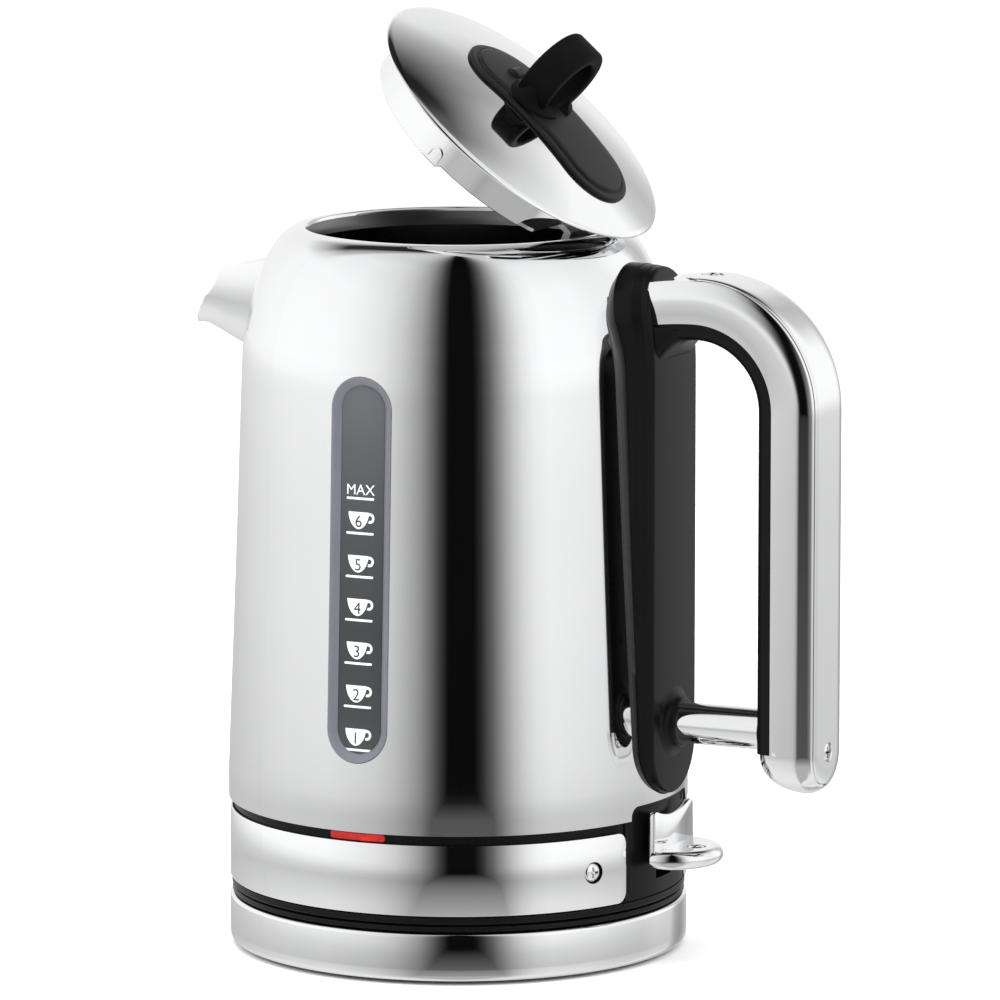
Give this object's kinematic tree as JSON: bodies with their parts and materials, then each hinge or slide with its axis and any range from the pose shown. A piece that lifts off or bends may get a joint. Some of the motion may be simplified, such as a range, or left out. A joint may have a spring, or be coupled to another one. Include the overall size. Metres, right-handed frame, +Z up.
{
  "type": "cordless electric kettle",
  "caption": "Tall polished steel cordless kettle on a round power base, with a hinged ring-handled lid, a bar handle, a water-level window and a rocker switch lever.",
  "frame": {"origin": "middle of the object's outline on the table, under the jug; the jug's own axis is at x = -0.0191", "axes": "+Z up; +X from the jug's axis towards the handle; the spout is on -X; the water-level window faces -Y"},
  "size_m": [0.2356, 0.1562, 0.3174],
  "materials": {
    "polished_steel": "mirror polished",
    "plain_steel": "satin",
    "black_plastic": "satin",
    "black_rubber": "soft matte",
    "grey_plastic": "satin",
    "smoked_window": "polished, smoked",
    "red_lens": "polished, translucent"
  },
  "bodies": {
    "power_base": {"base_skirt": "polished_steel", "base_top": "black_plastic", "base_connector": "black_plastic", "base_cover": "black_plastic", "cord_gland": "black_rubber", "foot_1": "black_rubber", "foot_2": "black_rubber", "foot_3": "black_rubber", "foot_4": "black_rubber", "base_screw_1": "plain_steel", "base_screw_2": "plain_steel", "base_screw_3": "plain_steel"},
    "connector": {"jug_connector": "black_plastic"},
    "jug": {"lower_housing": "black_plastic", "neon_lamp_lens": "red_lens", "lever_pin": "plain_steel", "band_screw_left": "polished_steel", "band_screw_right": "polished_steel", "base_band": "polished_steel", "heater_plate": "plain_steel", "heating_element": "plain_steel", "control_unit": "black_plastic", "chamber_seal": "black_rubber", "steam_tube": "plain_steel", "body_shell": "polished_steel", "spout": "polished_steel", "filter_holder": "black_plastic", "spout_filter": "grey_plastic", "window_frame": "grey_plastic", "window_lens": "smoked_window", "handle_strap": "black_plastic", "handle_shell": "polished_steel", "handle_strip": "polished_steel", "handle_screw_low": "polished_steel", "handle_screw_top": "polished_steel", "handle_liner": "black_plastic", "handle_strut": "polished_steel", "hinge_bracket": "plain_steel", "hinge_pin": "plain_steel"},
    "lid": {"lid_cover": "polished_steel", "lid_skirt": "polished_steel", "lid_pan": "plain_steel", "lid_arm": "plain_steel", "lid_screw_1": "plain_steel", "lid_screw_2": "plain_steel", "lid_insert": "black_plastic", "lid_ring": "black_rubber"},
    "switch_lever": {"switch_lever": "polished_steel", "lever_screw": "polished_steel"}
  },
  "joints": [
    {"name": "jug_lift", "type": "slide", "parent": "power_base", "child": "connector", "axis": [0, 0, 1], "range_m": [0, 0.1]},
    {"name": "jug_turn", "type": "hinge", "parent": "connector", "child": "jug", "pos_m": [-0.0191, 0, 0.03], "axis": [0, 0, 1], "continuous": true},
    {"name": "lid_hinge", "type": "hinge", "parent": "jug", "child": "lid", "pos_m": [0.04056, 0, 0.23093], "axis": [0, 1, 0], "range_deg": [-40.79, 0]},
    {"name": "switch_lever", "type": "hinge", "parent": "jug", "child": "switch_lever", "pos_m": [0.0489, 0, 0.035], "axis": [0, 1, 0], "range_deg": [0, 9]}
  ]
}
